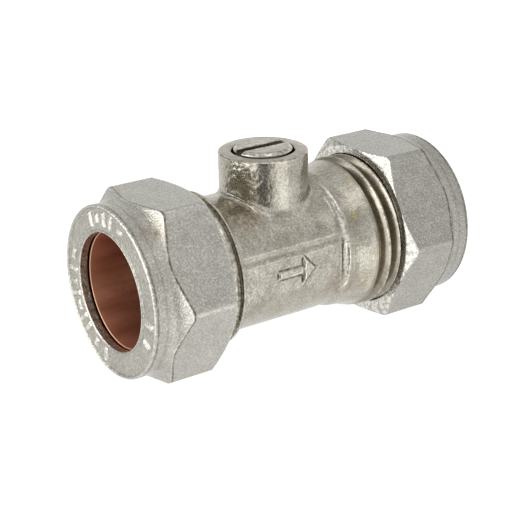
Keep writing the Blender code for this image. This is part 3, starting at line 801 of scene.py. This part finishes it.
def nickel(name, light, dark, gloss, grain, grain_depth, lump, speckle, glint, spots=(), stains=()):
    """Plated brass: soft blotches, blasted grain, painted glints, abrasion and painted highlights
    on edges, soiling and painted shade in creases.

    Grain is its size and lump is (size, depth), in millimetres. Spots are (place, inner, outer)
    where the brass shows; stains add how strong they are.
    """
    f = Finish(name, Metallic=1.0)
    blotch = f.noise(2.4, 4, 0.6)
    fine = f.noise(grain, 3, 0.65)
    middle = f.noise(0.55, 3, 0.6)
    colour = f.mix(f.span(blotch, 0.35, 0.68), dark, light)
    colour = f.shaded(colour, f.span(fine, 0.32, 0.68, 1 - speckle, 1 + speckle))
    flecks = f.sum("MULTIPLY", f.span(f.cells(0.38), 0.08, 0.22, 1.0, 0.0),
                   f.span(middle, 0.42, 0.58, 0.0, 0.8))
    colour = f.mix(flecks, colour, FLECK)
    # Painted glints: where the fine grain is brightest the colour goes towards near white.
    colour = f.mix(f.span(fine, 0.56, 0.66, 0.0, glint), colour, GLINT)
    pits = f.sum("MULTIPLY", f.span(f.cells(0.75), 0.0, 0.09, 1.0, 0.0),
                 f.span(middle, 0.5, 0.62))
    colour = f.mix(f.sum("MULTIPLY", pits, 0.6), colour, PIT)
    for spot, inner, outer, strength in stains:
        mask = f.sum("MULTIPLY", f.near(spot, inner, outer),
                     f.span(middle, 0.32, 0.62, 0, strength))
        colour = f.mix(mask, colour, STAIN)
    for spot, inner, outer in spots:
        mask = f.sum("MULTIPLY", f.near(spot, inner, outer), f.span(middle, 0.38, 0.52))
        colour = f.mix(mask, colour, BARE_BRASS)
    colour = f.abrasion_soil_and_painted_light(colour, middle, 0.75, 0.95, ABRADED_AND_HIGHLIGHT, SOIL_AND_SHADE)
    roughness = f.sum("ADD", f.span(blotch, 0.3, 0.7, gloss - 0.05, gloss + 0.06),
                      f.span(fine, 0.3, 0.7, -0.04, 0.04))
    f.bump(f.noise(lump[0], 2, 0.5), lump[1])
    f.bump(fine, grain_depth)
    f.bump(pits, -0.03)
    return f.done(colour, roughness)


# The second colour darkens the creases of turned metal: tarnish and painted shade.
TURNED_BRIGHT, TARNISH_AND_SHADE = (0.80, 0.77, 0.70, 1), (0.25, 0.21, 0.155, 1)


def machined(name, light, dark, gloss, axis):
    """Turned metal: fine lathe lines round an axis, a little tarnish, abrasion and painted
    highlights on edges, tarnish and painted shade in creases.
    """
    f = Finish(name, Metallic=1.0)
    stretch = {"X": (6, 0.4, 0.4), "Z": (0.4, 0.4, 6)}[axis]
    lines = f.noise(0.35, 3, 0.7, stretch)
    blotch = f.noise(1.6, 4, 0.6)
    colour = f.mix(f.span(blotch, 0.35, 0.66), dark, light)
    colour = f.abrasion_soil_and_painted_light(colour, f.noise(0.5, 3, 0.6), 0.7, 0.85, TURNED_BRIGHT, TARNISH_AND_SHADE)
    f.bump(lines, 0.006)
    f.bump(f.noise(0.2, 2), 0.003)
    return f.done(colour, f.span(lines, 0.3, 0.7, gloss - 0.05, gloss + 0.08))


COPPER_DARK, COPPER_LIGHT = (0.70, 0.31, 0.21, 1), (0.88, 0.46, 0.33, 1)
COPPER_STAIN, COPPER_EDGE = (0.30, 0.12, 0.08, 1), (0.95, 0.62, 0.42, 1)


def copper():
    """Turned copper: bands, tarnish in patches and a bright edge."""
    f = Finish("copper_looks", Metallic=1.0)
    bands = f.noise(2.6, 3, 0.5, (0.2, 0.7, 2.0))
    fine = f.noise(0.3, 3, 0.6, (3, 1, 1))
    colour = f.mix(f.span(bands, 0.3, 0.7), COPPER_DARK, COPPER_LIGHT)
    tarnish = f.span(f.noise(0.8, 4, 0.7), 0.58, 0.8, 0.0, 0.35)
    colour = f.mix(tarnish, colour, COPPER_STAIN)
    colour = f.mix(f.stored("worn"), colour, COPPER_EDGE)
    f.bump(fine, 0.005)
    return f.done(colour, f.span(bands, 0.3, 0.7, 0.4, 0.5))


def plain(name, light, dark, gloss, size, depth, metallic=0.0):
    """Even surface with a grain of a size and depth in millimetres."""
    f = Finish(name, Metallic=metallic)
    grain = f.noise(size, 4, 0.6)
    f.bump(grain, depth)
    return f.done(f.mix(f.span(grain, 0.35, 0.65), dark, light),
                  f.span(grain, 0.3, 0.7, gloss - 0.05, gloss + 0.08))


# ---------------------------------------------------------------- stage

def heading(azimuth, elevation):
    """Unit vector towards a direction given in degrees: 0, 0 is the front."""
    a, e = math.radians(azimuth), math.radians(elevation)
    return Vector((math.sin(a) * math.cos(e), -math.cos(a) * math.cos(e), math.sin(e)))


# The camera's angles in degrees, and its place and lens in millimetres.
AZIMUTH, ELEVATION, ROLL = -34.478, 21.131, -1.272
DISTANCE, LEFT, DOWN = 191.134, 1.183, 0.692
LENS, SENSOR = 100.68, 36


def camera():
    """Camera that looks at the valve from its left, front and above."""
    roll = math.radians(ROLL)
    back = heading(AZIMUTH, ELEVATION)
    level = (-back).cross(Vector((0, 0, 1))).normalized()
    upright = level.cross(-back)
    right = level * math.cos(roll) + upright * math.sin(roll)
    up = upright * math.cos(roll) - level * math.sin(roll)
    place = (back * DISTANCE - right * LEFT - up * DOWN) * MM
    data = bpy.data.cameras.new("camera")
    data.sensor_width = SENSOR
    data.lens = LENS
    data.clip_start = 0.005
    made = bpy.data.objects.new("camera", data)
    made.matrix_world = Matrix.Translation(place) @ Matrix((right, up, back)).transposed().to_4x4()
    bpy.context.scene.collection.objects.link(made)
    bpy.context.scene.camera = made


def softbox(name, azimuth, elevation, distance, width, height, radiance, colour):
    """Area light looking at the valve, in degrees and metres."""
    data = bpy.data.lights.new(name, "AREA")
    data.shape = "RECTANGLE"
    data.size, data.size_y = width, height
    data.energy = radiance * math.pi * width * height
    data.color = colour
    made = bpy.data.objects.new(name, data)
    made.location = heading(azimuth, elevation) * distance
    made.rotation_mode = "QUATERNION"
    made.rotation_quaternion = heading(azimuth, elevation).to_track_quat("Z", "Y")
    bpy.context.scene.collection.objects.link(made)


def sheet(name, low, high, height, material):
    """Flat rectangle of the stage, in metres."""
    mesh = bpy.data.meshes.new(name)
    corners = [(low[0], low[1], height), (high[0], low[1], height),
               (high[0], high[1], height), (low[0], high[1], height)]
    mesh.from_pydata(corners, [], [(0, 1, 2, 3)])
    mesh.materials.append(material)
    made = bpy.data.objects.new(name, mesh)
    bpy.context.scene.collection.objects.link(made)
    return made


FLOOR_GAP = 0.00002
PAPER = (0.3, 0.3, 0.298, 1)
PAPER_GLOW = 0.93
BOX_COLOUR = (1, 0.99, 0.97)


def stage():
    """Plain pale floor, the studio's light and one soft box."""
    scene = bpy.context.scene
    scene.view_settings.view_transform = "Standard"
    scene.view_settings.look = "None"
    paper = Finish("paper", Specular_IOR_Level=0.1)
    paper.shader.inputs["Emission Color"].default_value = (1, 1, 1, 1)
    paper.shader.inputs["Emission Strength"].default_value = PAPER_GLOW
    paper.done(PAPER, 0.9)
    floor = sheet("floor", (-2, -2), (2, 2), FLOOR * MM - FLOOR_GAP, paper.material)
    floor.visible_glossy = False
    studio()
    softbox("left", azimuth=-104, elevation=20, distance=0.5, width=0.5, height=0.33,
            radiance=1.5, colour=BOX_COLOUR)


# Brightness of the studio by elevation, and its patches: azimuth and elevation of the middle,
# how far out the patch is full and where it ends (all in degrees), and the factor on the light.
HEIGHTS = [(-90, 0.95), (0, 0.95), (20, 0.95), (30, 0.80), (46, 0.56), (60, 0.72), (90, 0.80)]
PATCHES = [(-34, -17, 11, 23, 0.18), (14, -22, 8, 19, 1.75), (-92, 0, 30, 46, 2.0),
           (30, 22, 12, 28, 0.76), (56, 38, 6, 14, 1.6), (-160, 24, 10, 26, 0.45),
           (4, -60, 12, 28, 1.45), (14, 62, 8, 22, 2.0)]


def studio():
    """Soft light all round: even below, dimmer overhead, with the patches above."""
    world = bpy.data.worlds.new("studio")
    bpy.context.scene.world = world
    world.use_nodes = True
    tree = world.node_tree
    background = tree.nodes["Background"]
    place = tree.nodes.new("ShaderNodeTexCoord").outputs["Generated"]
    split = tree.nodes.new("ShaderNodeSeparateXYZ")
    tree.links.new(place, split.inputs[0])
    height = tree.nodes.new("ShaderNodeMapRange")
    height.inputs["From Min"].default_value = -1
    tree.links.new(split.outputs["Z"], height.inputs[0])
    sky = tree.nodes.new("ShaderNodeValToRGB")
    tree.links.new(height.outputs[0], sky.inputs[0])
    stops = sky.color_ramp.elements
    for i, (elevation, grey) in enumerate(HEIGHTS):
        position = 0.5 + 0.5 * math.sin(math.radians(elevation))
        stop = stops[i] if i == 0 else stops.new(position)
        stop.position, stop.color = position, (grey, grey * 0.99, grey * 0.97, 1)
    stops.remove(stops[-1])
    tree.links.new(sky.outputs[0], background.inputs["Color"])
    strength = None
    for azimuth, elevation, core, fade, factor in PATCHES:
        toward = tree.nodes.new("ShaderNodeVectorMath")
        toward.operation = "DOT_PRODUCT"
        tree.links.new(place, toward.inputs[0])
        toward.inputs[1].default_value = heading(azimuth, elevation)
        patch = tree.nodes.new("ShaderNodeMapRange")
        patch.interpolation_type = "SMOOTHSTEP"
        tree.links.new(toward.outputs["Value"], patch.inputs[0])
        limits = (math.cos(math.radians(fade)), math.cos(math.radians(core)), 1.0, factor)
        for socket, value in zip(patch.inputs[1:5], limits):
            socket.default_value = value
        if strength:
            both = tree.nodes.new("ShaderNodeMath")
            both.operation = "MULTIPLY"
            tree.links.new(strength, both.inputs[0])
            tree.links.new(patch.outputs[0], both.inputs[1])
            strength = both.outputs[0]
        else:
            strength = patch.outputs[0]
    tree.links.new(strength, background.inputs["Strength"])


# ---------------------------------------------------------------- assembly

NUT_LIGHT, NUT_DARK = (0.525, 0.518, 0.473, 1), (0.445, 0.438, 0.396, 1)
RIGHT_NUT_LIGHT, RIGHT_NUT_DARK = (0.455, 0.448, 0.411, 1), (0.385, 0.378, 0.343, 1)
BODY_LIGHT, BODY_DARK = (0.53, 0.51, 0.446, 1), (0.39, 0.37, 0.312, 1)
TURNED_LIGHT, TURNED_DARK = (0.40, 0.375, 0.32, 1), (0.28, 0.255, 0.205, 1)
STEM_LIGHT, STEM_DARK = (0.37, 0.35, 0.31, 1), (0.28, 0.26, 0.225, 1)
CHROME_LIGHT, CHROME_DARK = (0.80, 0.81, 0.83, 1), (0.72, 0.73, 0.75, 1)
PTFE_LIGHT, PTFE_DARK = (0.88, 0.88, 0.86, 1), (0.80, 0.80, 0.77, 1)
BRASS_LIGHT, BRASS_DARK = (0.82, 0.62, 0.30, 1), (0.66, 0.47, 0.22, 1)
NITRILE_LIGHT, NITRILE_DARK = (0.035, 0.035, 0.035, 1), (0.02, 0.02, 0.02, 1)

# Where the plating is stained (place, inner and outer reach, strength) or the brass shows
# through (place, inner and outer reach), in millimetres.
NUT_STAINS = [((-21.4, -6.6, 9.2), 0.8, 2.6, 0.6), ((-20.5, -7.3, 9.4), 0.1, 0.6, 0.9)]
NUT_SPOTS = [((-10.6, -12.1, -3.4), 0.2, 0.9)]
BODY_STAINS = [((-6.6, -4.6, 7.4), 1.6, 3.6, 0.8), ((-4.6, -4.2, 10.5), 1.0, 3.0, 0.5),
               ((6.2, -8.2, -4.0), 0.8, 2.8, 0.6), ((9.6, -9.0, -4.0), 0.5, 2.2, 0.6),
               ((5.8, -1.5, 10.5), 1.5, 3.8, 0.32), ((8.4, -6.6, 6.4), 1.0, 4.0, 0.25)]
BODY_SPOTS = [((9.0, -7.9, 5.2), 0.3, 0.95), ((10.9, -4.6, 8.9), 0.1, 0.6)]
O_RING_HEIGHTS = {"stem_o_ring_lower": 10.2, "stem_o_ring_upper": 12.0}


def turned_areas(mesh):
    """Which faces of the body are machined: both ends, the boss's rim and everything inside."""
    centre = np.zeros(len(mesh.polygons) * 3)
    mesh.polygons.foreach_get("center", centre)
    x, y, z = centre.reshape(-1, 3).T / MM
    from_pipe, from_stem = np.hypot(y, z), np.hypot(x, y)
    ends = (x < COLLAR_EDGE - 0.2) | (x > SHOULDER - 0.2) | (z > BOSS_TOP - 0.21)
    return ends | (from_pipe < 8.0) & (from_stem < 5.2) | (from_pipe < 7.9) & (z < 7.9)


def build():
    """Every piece with its finish, body and the CAD node that it stands for."""
    nut_finish = nickel("nickel_nut_looks", NUT_LIGHT, NUT_DARK, gloss=0.19, grain=0.26,
                        grain_depth=0.095, lump=(0.8, 0.06), speckle=0.24, glint=0.22,
                        spots=NUT_SPOTS, stains=NUT_STAINS)
    right_finish = nickel("nickel_nut_right_looks", RIGHT_NUT_LIGHT, RIGHT_NUT_DARK, gloss=0.20,
                          grain=0.22, grain_depth=0.055, lump=(0.8, 0.05), speckle=0.26,
                          glint=0.26)
    body_finish = nickel("nickel_body_looks", BODY_LIGHT, BODY_DARK, gloss=0.17, grain=0.25,
                         grain_depth=0.026, lump=(0.8, 0.08), speckle=0.26, glint=0.1,
                         spots=BODY_SPOTS, stains=BODY_STAINS)
    turned_finish = machined("machined_body_looks", TURNED_LIGHT, TURNED_DARK, 0.22, "X")
    stem_finish = machined("nickel_stem_looks", STEM_LIGHT, STEM_DARK, 0.2, "Z")
    dress(nut("nut_left_looks", LEFT_FACE, -1, LEFT_PHASE, MARKS, seed=3, edge_abrasion_and_highlight=0.7),
          nut_finish, "nut_left", "nut_left")
    dress(nut("nut_right_looks", RIGHT_FACE, 1, RIGHT_PHASE, [], seed=7, edge_abrasion_and_highlight=0.15),
          right_finish, "nut_right", "nut_right")
    body = dress(valve_body(), body_finish, "valve_body", "valve_body")
    body.data.materials.append(turned_finish)
    body.data.polygons.foreach_set("material_index", turned_areas(body.data).astype(np.int32))
    copper_finish = copper()
    dress(olive("olive_left_looks", LEFT_FACE, -1), copper_finish,
          "olive_left", "olive_left")
    dress(olive("olive_right_looks", RIGHT_FACE, 1), copper_finish,
          "olive_right", "olive_right")
    dress(stem(), stem_finish, "stem", "stem")
    chrome = plain("chrome_ball_looks", CHROME_LIGHT, CHROME_DARK, 0.1, 0.8, 0.002, metallic=1.0)
    dress(ball(), chrome, "ball", "ball")
    ptfe = plain("ptfe_looks", PTFE_LIGHT, PTFE_DARK, 0.42, 0.4, 0.004)
    dress(seat("seat_left_looks", -1), ptfe, "valve_body", "seat_left")
    dress(seat("seat_right_looks", 1), ptfe, "valve_body", "seat_right")
    dress(washer(), ptfe, "valve_body", "stem_thrust_washer")
    brass = machined("brass_looks", BRASS_LIGHT, BRASS_DARK, 0.26, "X")
    dress(retainer(), brass, "valve_body", "seat_retainer")
    nitrile = plain("nitrile_looks", NITRILE_LIGHT, NITRILE_DARK, 0.55, 0.3, 0.01)
    middle = (GROOVE_FLOOR + STEM_BORE) / 2
    for node, height in O_RING_HEIGHTS.items():
        dress(ring(node + "_looks", height, middle, 0.5), nitrile, "stem", node)


build()
camera()
stage()
